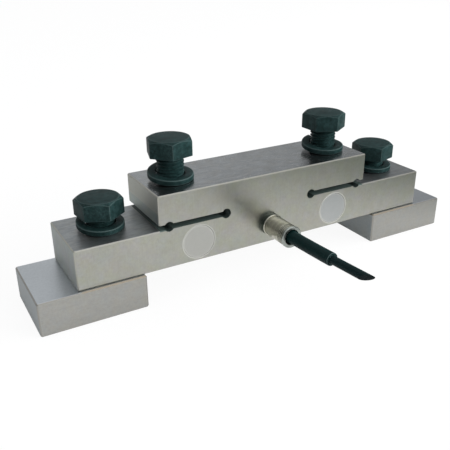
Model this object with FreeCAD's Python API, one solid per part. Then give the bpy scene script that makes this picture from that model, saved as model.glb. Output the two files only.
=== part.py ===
import FreeCAD
import Part
import math
import os

# Double ended beam load cell on two spacer blocks, in millimetres.
# +X runs along the beam, -Y is the front with the cable, +Z is up.
# The origin is on the floor, under the middle of the beam.

Vector = FreeCAD.Vector
X_AXIS = Vector(1, 0, 0)
Y_AXIS = Vector(0, 1, 0)
Z_AXIS = Vector(0, 0, 1)
ORIGIN = Vector(0, 0, 0)

# Beam, milled from one square bar
BEAM_LENGTH = 300.0
BAR_SIDE = 55.0
END_HEIGHT = 29.5
ARM_SPAN = 180.0
SLOT_HEIGHT = 4.0
SLOT_MIDDLE_X = 60.0
RELIEF_HOLE = 7.4
RELIEF_HOLE_PITCH = 45.0
BEAM_CHAMFER = 0.8

# Spacer blocks under the ends
BLOCK_LENGTH = 76.0
BLOCK_DEPTH = 60.0
BLOCK_HEIGHT = 25.0
BLOCK_PAST_BEAM = 28.0
BLOCK_CHAMFER = 1.0

# M20 hexagon bolts
BOLT_DIAMETER = 20.0
BOLT_TIP_CHAMFER = 1.3
HEX_FLATS = 30.0
HEAD_HEIGHT = 12.5
HEAD_CROWN = 28.5
HEAD_CHAMFER_DEG = 30.0
CLEARANCE_HOLE = 22.0
HOLE_CHAMFER = 0.8
END_BOLT_X = 122.0
END_BOLT_LENGTH = 65.0
LOAD_BOLT_X = 67.5
LOAD_BOLT_LENGTH = 40.0
HEAD_TURN_DEG = {"left_end": 36.0, "right_end": 15.0, "left_load": 13.5, "right_load": 32.0}

# Spring lock washers, uncompressed and lying loose
WASHER_BORE = 21.2
WASHER_WIDTH = 6.0
WASHER_THICKNESS = 4.0
WASHER_RISE = 4.4
WASHER_CUT_DEG = 8.0
WASHER_TURN_DEG = {"left_end": 100.0, "right_end": 96.0, "left_load": 96.0, "right_load": 88.0}
WASHER_CLEARANCE = 0.02

# Gauge pockets in the front and rear of the beam
COVER_DIAMETER = 25.0
COVER_THICKNESS = 1.8
COVER_SEAT_DEPTH = 2.0
COVER_CHAMFER = 0.3
POCKET_DIAMETER = 20.0
WEB_THICKNESS = 9.0
WEB_HOLE = 2.5
WEB_HOLE_OFFSET = 7.5

# Strain gauges
GAUGE_LENGTH = 11.0
GAUGE_WIDTH = 9.0
GAUGE_THICKNESS = 0.2
GRID_LENGTH = 5.0
GRID_WIDTH = 2.0
GRID_THICKNESS = 0.1
PAD_OFFSET = 3.5
PAD_LENGTH = 1.6
PAD_HEIGHT = 0.5

# Wiring inside the beam
CHANNEL_DIAMETER = 4.0
CHANNEL_DEPTH = 12.5
PLUG_DIAMETER = 6.0
PLUG_LENGTH = 6.0
LEAD_DIAMETER = 1.4
JUMPER_DIAMETER = 1.0
JUMPER_LOOP = 5.5
BOARD_WIDTH = 9.5
BOARD_LENGTH = 8.5
BOARD_THICKNESS = 1.0
LEAD_PAD_X = 3.0
LEAD_ON_BOARD = 2.0
RESISTOR_LENGTH = 1.6
RESISTOR_WIDTH = 1.0
RESISTOR_HEIGHT = 0.6
RESISTOR_FROM_FLOOR = 2.0
CORE_DIAMETER = 0.9
CORE_PITCH = 1.0
CORE_ON_BOARD = 4.0

# Gland, with distances measured outwards from the beam's front face
GLAND_HEIGHT = 15.25
PORT_THREAD = 12.0
PORT_THREAD_DEPTH = 7.5
PORT_BORE = 10.5
PORT_DEPTH = 23.5
STUB_LENGTH = 7.0
COLLAR_DIAMETER = 17.2
COLLAR_END = 5.0
COLLAR_CHAMFER = 0.4
NECK_DIAMETER = 15.0
NECK_END = 5.8
BARREL_DIAMETER = 16.2
BARREL_END = 26.8
GROOVE_COUNT = 3
GROOVE_FIRST = 22.2
GROOVE_PITCH = 1.5
GROOVE_WIDTH = 0.7
GROOVE_DEPTH = 0.35
BARREL_BORE = 11.0
BARREL_BORE_START = 10.5
SPIGOT_DIAMETER = 13.0
SPIGOT_LENGTH = 4.0
RING_DIAMETER = 16.6
RING_END = 29.0
RING_CHAMFER = 0.5
CABLE_HOLE = 6.8
SEAL_LENGTH = 6.0
O_RING_CENTRE = 14.2
O_RING_SECTION = 1.5

# Cable stub, seen from above as points of its route
CABLE_DIAMETER = 6.2
SLEEVE_DIAMETER = 9.6
SLEEVE_END_Y = -98.0
CABLE_ROUTE_XY = [(0.0, -21.0), (0.0, -50.0), (2.95, -97.0), (6.9, -134.0)]
CABLE_END_XY = (6.3, -128.3)
# The slanted cut leaves the side towards this direction longest
CUT_LONG_SIDE = Vector(0.8, 0.0, 0.6)
CUT_SLANT_DEG = 54.0
# A bend takes this share of the shorter run beside it
BEND_SHARE = 0.45

# Levels and faces worked out from the driving dimensions
BEAM_BOTTOM = BLOCK_HEIGHT
END_TOP = BEAM_BOTTOM + END_HEIGHT
SLOT_MIDDLE_Z = END_TOP + SLOT_HEIGHT / 2
SLOT_TOP = END_TOP + SLOT_HEIGHT
BEAM_TOP = BEAM_BOTTOM + BAR_SIDE
FRONT_Y = -BAR_SIDE / 2
GAUGE_Z = BEAM_BOTTOM + END_HEIGHT / 2
GLAND_Z = BEAM_BOTTOM + GLAND_HEIGHT
CHANNEL_Y = FRONT_Y + CHANNEL_DEPTH
PORT_FLOOR_Y = FRONT_Y + PORT_DEPTH
BOARD_TOP = GAUGE_Z - LEAD_DIAMETER / 2
BOARD_FRONT_Y = PORT_FLOOR_Y - BOARD_LENGTH
SIDES = {"left": -1, "right": 1}
FACES = {"front": -1, "rear": 1}


def rod(start, end, diameter):
    """Cylinder of that diameter between two points."""
    direction = end - start
    return Part.makeCylinder(diameter / 2, direction.Length, start, direction)


def block(low, high):
    """Box between its lowest and highest corners."""
    size = high - low
    return Part.makeBox(size.x, size.y, size.z, low)


def turned(points):
    """Ring turned about the gland's line from points of (radius, distance out of the front face)."""
    corners = [Vector(radius, -distance, 0) for radius, distance in points]
    face = Part.Face(Part.makePolygon(corners + corners[:1]))
    ring = face.revolve(ORIGIN, Y_AXIS, 360)
    ring.translate(Vector(0, FRONT_Y, GLAND_Z))
    return ring


def half_space(point, outward, reach=400.0):
    """Large box on the outward side of a plane through point."""
    cutter = Part.makeBox(reach, reach, reach, Vector(-reach / 2, -reach / 2, 0))
    cutter.Placement = FreeCAD.Placement(point, FreeCAD.Rotation(Z_AXIS, outward))
    return cutter


def chamfered(shape, size, wanted):
    """The shape with a chamfer on each edge whose middle passes the test."""
    return shape.makeChamfer(size, [edge for edge in shape.Edges if wanted(edge.CenterOfMass)])


def near(value, target):
    return abs(value - target) < 1e-4


def rounded_path(points, name):
    """Wire of straight runs joined by the largest tangent arcs that the runs allow."""
    edges = []
    start = points[0]
    for before, corner, after in zip(points, points[1:], points[2:]):
        back = before - corner
        ahead = after - corner
        tangent = BEND_SHARE * min(back.Length, ahead.Length)
        half_turn = (math.pi - back.getAngle(ahead)) / 2
        radius = tangent / math.tan(half_turn)
        back.normalize()
        ahead.normalize()
        inwards = back + ahead
        inwards.normalize()
        arc_start = corner + back * tangent
        arc_middle = corner + inwards * (radius / math.cos(half_turn) - radius)
        arc_end = corner + ahead * tangent
        edges.append(Part.LineSegment(start, arc_start).toShape())
        edges.append(Part.Arc(arc_start, arc_middle, arc_end).toShape())
        start = arc_end
        print(name, "bend radius", round(radius, 1))
    edges.append(Part.LineSegment(start, points[-1]).toShape())
    return Part.Wire(edges)


def tube(points, diameter, name):
    """Solid round wire or cable along a rounded path."""
    path = rounded_path(points, name)
    section = Part.Wire(Part.makeCircle(diameter / 2, points[0], points[1] - points[0]))
    solid = path.makePipeShell([section], True, True)
    print(name, "volume over section times length",
          round(solid.Volume / (math.pi * diameter**2 / 4 * path.Length), 4))
    return solid


def beam_outer_edge(middle):
    """True on the beam's ground outer edges, and false inside its slots."""
    on_arm_end = near(abs(middle.x), ARM_SPAN / 2) and SLOT_TOP + 1 < middle.z
    on_step = near(middle.z, END_TOP) and abs(middle.x) > ARM_SPAN / 2
    on_end = near(abs(middle.x), BEAM_LENGTH / 2)
    return on_end or on_step or on_arm_end or near(middle.z, BEAM_BOTTOM) or near(middle.z, BEAM_TOP)


def beam_blank():
    """The stepped bar with its two slots, before the holes."""
    half_length = BEAM_LENGTH / 2
    half_span = ARM_SPAN / 2
    rear_y = -FRONT_Y
    blank = block(Vector(-half_length, FRONT_Y, BEAM_BOTTOM), Vector(half_length, rear_y, END_TOP))
    blank = blank.fuse(block(Vector(-half_span, FRONT_Y, END_TOP), Vector(half_span, rear_y, BEAM_TOP)))
    for side in SIDES.values():
        inner_x = side * (SLOT_MIDDLE_X - RELIEF_HOLE_PITCH / 2)
        outer_x = side * (SLOT_MIDDLE_X + RELIEF_HOLE_PITCH / 2)
        slot_ends = sorted([inner_x, side * half_span])
        slot = block(Vector(slot_ends[0], FRONT_Y, END_TOP), Vector(slot_ends[1], rear_y, SLOT_TOP))
        for hole_x in (inner_x, outer_x):
            hole = rod(Vector(hole_x, FRONT_Y, SLOT_MIDDLE_Z), Vector(hole_x, rear_y, SLOT_MIDDLE_Z),
                       RELIEF_HOLE)
            slot = slot.fuse(hole)
        blank = blank.cut(slot)
    return chamfered(blank.removeSplitter(), BEAM_CHAMFER, beam_outer_edge)


def bolt_hole(x, bottom, top, diameter):
    """Cutter for a vertical bolt hole with a chamfer at its upper mouth."""
    radius = diameter / 2
    mouth = Part.makeCone(radius, radius + HOLE_CHAMFER, HOLE_CHAMFER, Vector(x, 0, top - HOLE_CHAMFER))
    return rod(Vector(x, 0, bottom), Vector(x, 0, top), diameter).fuse(mouth)


def gauge_pocket(x, face):
    """Cutter for one pocket: a cover seat with a chamfered rim, then the pocket down to the web."""
    outside = face * BAR_SIDE / 2
    seat_floor = face * (BAR_SIDE / 2 - COVER_SEAT_DEPTH)
    web_face = face * WEB_THICKNESS / 2
    radius = COVER_DIAMETER / 2
    seat = rod(Vector(x, seat_floor, GAUGE_Z), Vector(x, outside, GAUGE_Z), COVER_DIAMETER)
    rim_start = Vector(x, outside - face * COVER_CHAMFER, GAUGE_Z)
    rim = Part.makeCone(radius, radius + COVER_CHAMFER, COVER_CHAMFER, rim_start, Y_AXIS * face)
    pocket = rod(Vector(x, web_face, GAUGE_Z), Vector(x, seat_floor, GAUGE_Z), POCKET_DIAMETER)
    return seat.fuse([rim, pocket])


def gland_port():
    """Cutter for the gland's threaded port and the board's bore behind it."""
    mouth = Vector(0, FRONT_Y, GLAND_Z)
    thread = rod(mouth, mouth + Y_AXIS * PORT_THREAD_DEPTH, PORT_THREAD)
    return thread.fuse(rod(mouth, mouth + Y_AXIS * PORT_DEPTH, PORT_BORE))


def wire_channel():
    """Cutter for the channel drilled from the right end to the left gauge pocket."""
    end_x = BEAM_LENGTH / 2
    start = Vector(-SLOT_MIDDLE_X, CHANNEL_Y, GAUGE_Z)
    end = Vector(end_x, CHANNEL_Y, GAUGE_Z)
    plug_seat = rod(end - X_AXIS * PLUG_LENGTH, end, PLUG_DIAMETER)
    return rod(start, end, CHANNEL_DIAMETER).fuse(plug_seat)


def make_beam_body():
    cutters = [gland_port(), wire_channel()]
    for side in SIDES.values():
        cutters.append(bolt_hole(side * END_BOLT_X, BEAM_BOTTOM, END_TOP, CLEARANCE_HOLE))
        cutters.append(bolt_hole(side * LOAD_BOLT_X, SLOT_MIDDLE_Z, BEAM_TOP, BOLT_DIAMETER))
        web_hole_x = side * (SLOT_MIDDLE_X + WEB_HOLE_OFFSET)
        web_half = Y_AXIS * WEB_THICKNESS / 2
        web_middle = Vector(web_hole_x, 0, GAUGE_Z)
        cutters.append(rod(web_middle - web_half, web_middle + web_half, WEB_HOLE))
        for face in FACES.values():
            cutters.append(gauge_pocket(side * SLOT_MIDDLE_X, face))
    return beam_blank().cut(cutters)


def make_spacer_block(side):
    outer_x = side * (BEAM_LENGTH / 2 + BLOCK_PAST_BEAM)
    ends = sorted([outer_x, outer_x - side * BLOCK_LENGTH])
    plate = block(Vector(ends[0], -BLOCK_DEPTH / 2, 0), Vector(ends[1], BLOCK_DEPTH / 2, BLOCK_HEIGHT))
    plate = chamfered(plate, BLOCK_CHAMFER, lambda middle: True)
    return plate.cut(bolt_hole(side * END_BOLT_X, 0, BLOCK_HEIGHT, CLEARANCE_HOLE))


def hexagon_head(turn_deg):
    """Bolt head with its underside at zero and a turned chamfer round its top."""
    corner_radius = HEX_FLATS / math.sqrt(3)
    corners = []
    for step in range(6):
        angle = math.radians(turn_deg + 60 * step)
        corners.append(Vector(corner_radius * math.cos(angle), corner_radius * math.sin(angle), 0))
    prism = Part.Face(Part.makePolygon(corners + corners[:1])).extrude(Z_AXIS * HEAD_HEIGHT)
    reach = corner_radius + 1
    crown = HEAD_CROWN / 2
    drop = (reach - crown) * math.tan(math.radians(HEAD_CHAMFER_DEG))
    outline = [Vector(0, 0, 0), Vector(reach, 0, 0), Vector(reach, 0, HEAD_HEIGHT - drop),
               Vector(crown, 0, HEAD_HEIGHT), Vector(0, 0, HEAD_HEIGHT), Vector(0, 0, 0)]
    blank = Part.Face(Part.makePolygon(outline)).revolve(ORIGIN, Z_AXIS, 360)
    return prism.common(blank)


def make_bolt(x, head_z, length, turn_deg):
    """Hexagon bolt, plain where its thread is, hanging down from its head."""
    radius = BOLT_DIAMETER / 2
    shank = Part.makeCylinder(radius, length - BOLT_TIP_CHAMFER, Vector(0, 0, BOLT_TIP_CHAMFER - length))
    tip = Part.makeCone(radius - BOLT_TIP_CHAMFER, radius, BOLT_TIP_CHAMFER, Vector(0, 0, -length))
    bolt = hexagon_head(turn_deg).fuse([shank, tip]).removeSplitter()
    bolt.translate(Vector(x, 0, head_z))
    return bolt


def make_spring_washer(x, seat_z, hole, turn_deg):
    """One left hand coil of spring steel, leaning as it lies loose over a hole."""
    middle_radius = (WASHER_BORE + WASHER_WIDTH) / 2
    outer_radius = WASHER_BORE / 2 + WASHER_WIDTH
    pitch = WASHER_RISE * 360 / (360 - WASHER_CUT_DEG)
    coil = Part.makeHelix(pitch, WASHER_RISE, middle_radius, 0, True)
    corners = []
    for across, up in ((-0.5, 0), (0.5, 0), (0.5, 1), (-0.5, 1), (-0.5, 0)):
        corners.append(Vector(middle_radius + across * WASHER_WIDTH, 0, up * WASHER_THICKNESS))
    washer = coil.makePipeShell([Part.makePolygon(corners)], True, True)
    # It rests with its low end on the hole's rim and its outer edge across from there
    rim_radius = hole / 2 + HOLE_CHAMFER
    end_lift = WASHER_RISE / 2 / (1 + rim_radius / outer_radius)
    side_lift = WASHER_RISE / (2 * math.pi)
    middle = Vector(0, 0, (WASHER_RISE + WASHER_THICKNESS) / 2)
    washer.rotate(middle, Y_AXIS, -math.degrees(math.atan(end_lift / outer_radius)))
    washer.rotate(middle, X_AXIS, -math.degrees(math.atan(side_lift / outer_radius)))
    washer.rotate(ORIGIN, Z_AXIS, turn_deg)
    washer.translate(Vector(x, 0, seat_z + end_lift - WASHER_RISE / 2 + WASHER_CLEARANCE))
    return washer


def make_cover(side, face):
    """Flush disc on a pocket's seat, with a fine chamfer round its outer face."""
    x = side * SLOT_MIDDLE_X
    outward = Y_AXIS * face
    seat = Vector(x, face * (BAR_SIDE / 2 - COVER_SEAT_DEPTH), GAUGE_Z)
    radius = COVER_DIAMETER / 2
    plain = COVER_THICKNESS - COVER_CHAMFER
    disc = Part.makeCylinder(radius, plain, seat, outward)
    rim = Part.makeCone(radius, radius - COVER_CHAMFER, COVER_CHAMFER, seat + outward * plain, outward)
    return disc.fuse(rim).removeSplitter()


def make_gauge(side, face):
    """Foil gauge on a web: backing, two grids at 45 degrees and two solder pads."""
    centre = Vector(side * SLOT_MIDDLE_X, face * WEB_THICKNESS / 2, GAUGE_Z)

    def slab(length, width, low, high):
        low_y, high_y = sorted([low * face, high * face])
        return block(Vector(-length / 2, low_y, -width / 2), Vector(length / 2, high_y, width / 2))

    gauge = slab(GAUGE_LENGTH, GAUGE_WIDTH, 0, GAUGE_THICKNESS)
    for slant in (-45, 45):
        grid = slab(GRID_WIDTH, GRID_LENGTH, GAUGE_THICKNESS, GAUGE_THICKNESS + GRID_THICKNESS)
        grid.rotate(ORIGIN, Y_AXIS, slant)
        gauge = gauge.fuse(grid)
    for pad_side in (-1, 1):
        pad = slab(PAD_LENGTH, PAD_LENGTH, GAUGE_THICKNESS, PAD_HEIGHT)
        pad.translate(X_AXIS * pad_side * PAD_OFFSET)
        gauge = gauge.fuse(pad)
    gauge.translate(centre)
    return gauge.removeSplitter()


def make_leads(side, name):
    """Lead bundle from the front gauge's inner pad, along the channel, onto the board."""
    pad_x = side * (SLOT_MIDDLE_X - PAD_OFFSET)
    pad_y = -WEB_THICKNESS / 2 - PAD_HEIGHT
    board_x = side * LEAD_PAD_X
    board_y = BOARD_FRONT_Y + LEAD_ON_BOARD
    route = [(pad_x, pad_y), (pad_x, CHANNEL_Y), (board_x, CHANNEL_Y), (board_x, board_y)]
    return tube([Vector(x, y, GAUGE_Z) for x, y in route], LEAD_DIAMETER, name)


def make_jumper(side, name):
    """Wire from the rear gauge's outer pad, through the web, to the front gauge's."""
    pad_x = side * (SLOT_MIDDLE_X + PAD_OFFSET)
    hole_x = side * (SLOT_MIDDLE_X + WEB_HOLE_OFFSET)
    pad_y = WEB_THICKNESS / 2 + PAD_HEIGHT
    loop_y = pad_y + JUMPER_LOOP
    route = [(pad_x, pad_y), (pad_x, loop_y), (hole_x, loop_y),
             (hole_x, -loop_y), (pad_x, -loop_y), (pad_x, -pad_y)]
    return tube([Vector(x, y, GAUGE_Z) for x, y in route], JUMPER_DIAMETER, name)


def make_channel_plug():
    end = Vector(BEAM_LENGTH / 2, CHANNEL_Y, GAUGE_Z)
    return rod(end - X_AXIS * PLUG_LENGTH, end, PLUG_DIAMETER)


def make_bridge_board():
    half_width = BOARD_WIDTH / 2
    low = Vector(-half_width, BOARD_FRONT_Y, BOARD_TOP - BOARD_THICKNESS)
    return block(low, Vector(half_width, PORT_FLOOR_Y, BOARD_TOP))


def make_resistor(side):
    low_x = side * LEAD_PAD_X - RESISTOR_LENGTH / 2
    low = Vector(low_x, PORT_FLOOR_Y - RESISTOR_FROM_FLOOR - RESISTOR_WIDTH, BOARD_TOP)
    return block(low, low + Vector(RESISTOR_LENGTH, RESISTOR_WIDTH, RESISTOR_HEIGHT))


def make_core(place):
    """One of four cores in a row, from the cable's stripped end onto the board."""
    x = (place - 1.5) * CORE_PITCH
    z = BOARD_TOP + CORE_DIAMETER / 2
    start = Vector(x, CABLE_ROUTE_XY[0][1], z)
    return rod(start, Vector(x, BOARD_FRONT_Y + CORE_ON_BOARD, z), CORE_DIAMETER)


def make_gland_body():
    """Turned gland: threaded stub, base collar, neck, and a barrel grooved near its open end."""
    barrel = BARREL_DIAMETER / 2
    collar = COLLAR_DIAMETER / 2
    outline = [(CABLE_HOLE / 2, -STUB_LENGTH), (PORT_THREAD / 2, -STUB_LENGTH), (PORT_THREAD / 2, 0),
               (collar, 0), (collar, COLLAR_END - COLLAR_CHAMFER), (collar - COLLAR_CHAMFER, COLLAR_END),
               (NECK_DIAMETER / 2, COLLAR_END), (NECK_DIAMETER / 2, NECK_END), (barrel, NECK_END)]
    for number in range(GROOVE_COUNT):
        start = GROOVE_FIRST + number * GROOVE_PITCH
        outline += [(barrel, start), (barrel - GROOVE_DEPTH, start + GROOVE_WIDTH / 2),
                    (barrel, start + GROOVE_WIDTH)]
    seat = BARREL_END - SPIGOT_LENGTH
    outline += [(barrel, BARREL_END), (SPIGOT_DIAMETER / 2, BARREL_END), (SPIGOT_DIAMETER / 2, seat),
                (BARREL_BORE / 2, seat), (BARREL_BORE / 2, BARREL_BORE_START),
                (CABLE_HOLE / 2, BARREL_BORE_START)]
    body = turned(outline)
    inner = (O_RING_CENTRE - O_RING_SECTION) / 2
    outer = (O_RING_CENTRE + O_RING_SECTION) / 2
    return body.cut(turned([(inner, 0), (outer, 0), (outer, O_RING_SECTION), (inner, O_RING_SECTION)]))


def make_gland_o_ring():
    centre = Vector(0, FRONT_Y - O_RING_SECTION / 2, GLAND_Z)
    return Part.makeTorus(O_RING_CENTRE / 2, O_RING_SECTION / 2, centre, Y_AXIS)


def make_gland_clamp_ring():
    """Flanged ring in the gland's open end, its spigot inside the barrel."""
    bore = BARREL_BORE / 2
    rim = RING_DIAMETER / 2
    return turned([(bore, BARREL_END - SPIGOT_LENGTH), (SPIGOT_DIAMETER / 2, BARREL_END - SPIGOT_LENGTH),
                   (SPIGOT_DIAMETER / 2, BARREL_END), (rim, BARREL_END), (rim, RING_END - RING_CHAMFER),
                   (rim - RING_CHAMFER, RING_END), (bore + RING_CHAMFER, RING_END),
                   (bore, RING_END - RING_CHAMFER)])


def make_cable():
    """Cable from its stripped end in the gland to its slanted cut."""
    route = [Vector(x, y, GLAND_Z) for x, y in CABLE_ROUTE_XY]
    along = route[-1] - route[-2]
    along.normalize()
    outward = along - CUT_LONG_SIDE * math.tan(math.radians(CUT_SLANT_DEG))
    cut = half_space(Vector(CABLE_END_XY[0], CABLE_END_XY[1], GLAND_Z), outward)
    return tube(route, CABLE_DIAMETER, "cable").cut(cut)


def make_gland_seal(cable):
    outer = BARREL_BORE / 2
    end = BARREL_BORE_START + SEAL_LENGTH
    bush = turned([(0, BARREL_BORE_START), (outer, BARREL_BORE_START), (outer, end), (0, end)])
    return bush.cut(cable)


def make_cable_sleeve(cable):
    """Sleeve that follows the cable from the gland's seal, cut square at its free end."""
    route = [Vector(x, y, GLAND_Z) for x, y in CABLE_ROUTE_XY]
    start = Vector(0, FRONT_Y - BARREL_BORE_START - SEAL_LENGTH, GLAND_Z)
    along = route[2] - route[1]
    share = (SLEEVE_END_Y - route[1].y) / along.y
    end = route[1] + along * share
    sleeve = tube(route, SLEEVE_DIAMETER, "cable_sleeve")
    return sleeve.cut([half_space(start, Y_AXIS), half_space(end, along), cable])


def make_all():
    """Every piece by its node's name."""
    cable = make_cable()
    pieces = {
        "beam_body": make_beam_body(),
        "channel_plug": make_channel_plug(),
        "bridge_board": make_bridge_board(),
        "zero_resistor": make_resistor(-1),
        "span_resistor": make_resistor(1),
        "gland_body": make_gland_body(),
        "gland_o_ring": make_gland_o_ring(),
        "gland_clamp_ring": make_gland_clamp_ring(),
        "gland_seal": make_gland_seal(cable),
        "cable_sleeve": make_cable_sleeve(cable),
        "cable": cable,
    }
    for place, core in enumerate(("supply_core", "ground_core", "signal_core", "return_core")):
        pieces[core] = make_core(place)
    for side, sign in SIDES.items():
        end = side + "_end"
        load = side + "_load"
        pieces[side + "_spacer_block"] = make_spacer_block(sign)
        pieces[end + "_bolt"] = make_bolt(sign * END_BOLT_X, END_BOLT_LENGTH, END_BOLT_LENGTH,
                                          HEAD_TURN_DEG[end])
        pieces[load + "_bolt"] = make_bolt(sign * LOAD_BOLT_X, SLOT_TOP + LOAD_BOLT_LENGTH, LOAD_BOLT_LENGTH,
                                           HEAD_TURN_DEG[load])
        pieces[end + "_washer"] = make_spring_washer(sign * END_BOLT_X, END_TOP, CLEARANCE_HOLE,
                                                      WASHER_TURN_DEG[end])
        pieces[load + "_washer"] = make_spring_washer(sign * LOAD_BOLT_X, BEAM_TOP, BOLT_DIAMETER,
                                                       WASHER_TURN_DEG[load])
        pieces[side + "_leads"] = make_leads(sign, side + "_leads")
        pieces[side + "_jumper"] = make_jumper(sign, side + "_jumper")
        for face, facing in FACES.items():
            pieces[f"{side}_{face}_cover"] = make_cover(sign, facing)
            pieces[f"{side}_{face}_gauge"] = make_gauge(sign, facing)
    return pieces


def export(pieces):
    os.makedirs("parts", exist_ok=True)
    for node, shape in pieces.items():
        if not shape.isValid() or shape.Volume <= 0:
            raise ValueError(node + " is not a sound solid")
        shape.exportStep("parts/" + node + ".step")
        print(node, len(shape.Solids), "solid", round(shape.Volume, 2), "mm3")


export(make_all())
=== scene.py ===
import math

import bmesh
import bpy
from mathutils import Matrix, Vector


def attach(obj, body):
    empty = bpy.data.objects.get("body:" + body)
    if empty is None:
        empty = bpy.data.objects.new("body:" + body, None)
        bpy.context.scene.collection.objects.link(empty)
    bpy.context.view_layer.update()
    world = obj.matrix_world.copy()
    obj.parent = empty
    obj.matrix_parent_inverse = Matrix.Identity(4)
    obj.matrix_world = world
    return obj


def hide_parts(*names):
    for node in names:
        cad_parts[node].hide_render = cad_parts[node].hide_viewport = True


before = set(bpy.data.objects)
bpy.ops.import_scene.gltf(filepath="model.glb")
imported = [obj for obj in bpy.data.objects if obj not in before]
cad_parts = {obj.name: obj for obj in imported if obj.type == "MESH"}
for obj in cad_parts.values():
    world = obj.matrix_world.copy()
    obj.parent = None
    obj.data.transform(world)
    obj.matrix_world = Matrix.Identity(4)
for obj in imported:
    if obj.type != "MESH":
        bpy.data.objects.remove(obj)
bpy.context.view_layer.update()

# Double ended beam load cell. Shapes are drawn in millimetres, as in the part's source, and scaled to
# metres as each piece is finished. +X runs along the beam, -Y is the front with the cable, +Z is up.
MM = 0.001

# Mesh tolerances: gap between doubled points, shortest edge kept, distance from a cutting plane, and the
# angle from which an edge is shaded as sharp
DOUBLED = 0.0005
SHORT_EDGE = 0.002
CUT_TOLERANCE = 0.00001
SHARP_DEG = 30.0

# Beam and blocks
BEAM_HALF_LENGTH = 150.0
BEAM_HALF_DEPTH = 27.5
BEAM_BOTTOM = 25.0
STEP_TOP = 54.5
ARM_UNDERSIDE = 58.5
SLOT_MIDDLE = (STEP_TOP + ARM_UNDERSIDE) / 2
BEAM_TOP = 80.0
ARM_REACH = 90.0
BEAM_CHAMFER = 0.8
BLOCK_HALF_DEPTH = 30.0
BLOCK_INNER_X = 102.0
BLOCK_OUTER_X = 178.0
BLOCK_CHAMFER = 1.0
COVER_X = 60.0
COVER_Z = 39.75
COVER_RADIUS = 12.5
RELIEF_RADIUS = 3.7

# M20 hexagon bolts: centre x, height of the head's underside, length and the head's turn
BOLTS = {
    "left_end": (-122.0, 65.0, 65.0, 36.0),
    "right_end": (122.0, 65.0, 65.0, 15.0),
    "left_load": (-67.5, 98.5, 40.0, 13.5),
    "right_load": (67.5, 98.5, 40.0, 32.0),
}
HEX_FLATS = 30.0
HEAD_HEIGHT = 12.5
HEAD_CROWN = 28.5
HEAD_CHAMFER_DEG = 30.0
HEAD_EDGE = 0.45
HEAD_STEPS = 120
BLANK_SPARE = 0.2
CREST_DIAMETER = 19.94
THREAD_PITCH = 2.5
THREAD_DEPTH = 1.35
CREST_FLAT = 0.35
ROOT_FLAT = 0.6
THREAD_STEPS = 48
BOLT_TIP_CHAMFER = 1.3
NECK_LENGTH = 1.0
NECK_DIAMETER = 18.2
NECK_OVERLAP = 0.3
NECK_INTO_HEAD = 0.4
SHANK_STEPS = 90
# The coil runs past both ends of the shank, and the shape that trims it stands clear of the crests
COIL_SPARE_TURNS = 3
COIL_TURNS_BELOW = 1.5
COIL_PAST_TIP = 0.2
COIL_TOP = 0.5
CREST_CLEARANCE = 0.05

# Spring lock washers: centre x, seat height, hole under them and turn of the cut
WASHERS = {
    "left_end": (-122.0, STEP_TOP, 22.0, 100.0),
    "right_end": (122.0, STEP_TOP, 22.0, 96.0),
    "left_load": (-67.5, BEAM_TOP, 20.0, 96.0),
    "right_load": (67.5, BEAM_TOP, 20.0, 88.0),
}
WASHER_BORE = 21.2
WASHER_WIDTH = 6.0
WASHER_THICKNESS = 4.0
WASHER_RISE = 4.4
WASHER_CUT_DEG = 8.0
WASHER_CLEARANCE = 0.02
WASHER_EDGE = 1.1
WASHER_STEPS = 88
HOLE_CHAMFER = 0.8

# Gland, with distances measured outwards from the beam's front face
GLAND_Z = 40.25
GLAND_CORNER = 0.12
GLAND_STEPS = 96
STUB_LENGTH = 7.0
STUB_RADIUS = 6.0
COLLAR_RADIUS = 8.6
COLLAR_END = 5.0
COLLAR_CHAMFER = 0.4
NECK_RADIUS = 7.5
NECK_END = 5.8
BARREL_RADIUS = 8.1
BARREL_END = 26.8
GROOVE_COUNT = 3
GROOVE_FIRST = 22.2
GROOVE_PITCH = 1.5
GROOVE_WIDTH = 0.7
GROOVE_DEPTH = 0.35
GROOVE_SPAN = GROOVE_PITCH * GROOVE_COUNT
GROOVE_MIDDLE = GROOVE_FIRST + (GROOVE_WIDTH + GROOVE_SPAN - GROOVE_PITCH) / 2
BARREL_BORE = 5.5
BARREL_BORE_START = 10.5
SPIGOT_RADIUS = 6.5
SPIGOT_START = 22.8
RING_RADIUS = 8.3
RING_END = 29.0
RING_CHAMFER = 0.5
CABLE_HOLE = 3.4
O_RING_INNER = 6.35
O_RING_OUTER = 7.85
O_RING_DEPTH = 1.5

# Cable stub and its sleeve, with the route's points as seen from above
CABLE_ROUTE = [(0.0, -21.0), (0.0, -50.0), (2.95, -97.0), (6.9, -134.0)]
ROUTE_STEPS = 24
ROUTE_ROUNDNESS = 10
CABLE_DIAMETER = 6.2
CABLE_END = Vector((6.3, -128.3, GLAND_Z))
CUT_LONG_SIDE = Vector((0.8, 0.0, 0.6))
CUT_SLANT_DEG = 54.0
SLEEVE_DIAMETER = 9.6
SLEEVE_WALL = 1.65
SLEEVE_START_Y = -44.0
SLEEVE_END_Y = -98.0
SLEEVE_EDGE = 0.4

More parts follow.
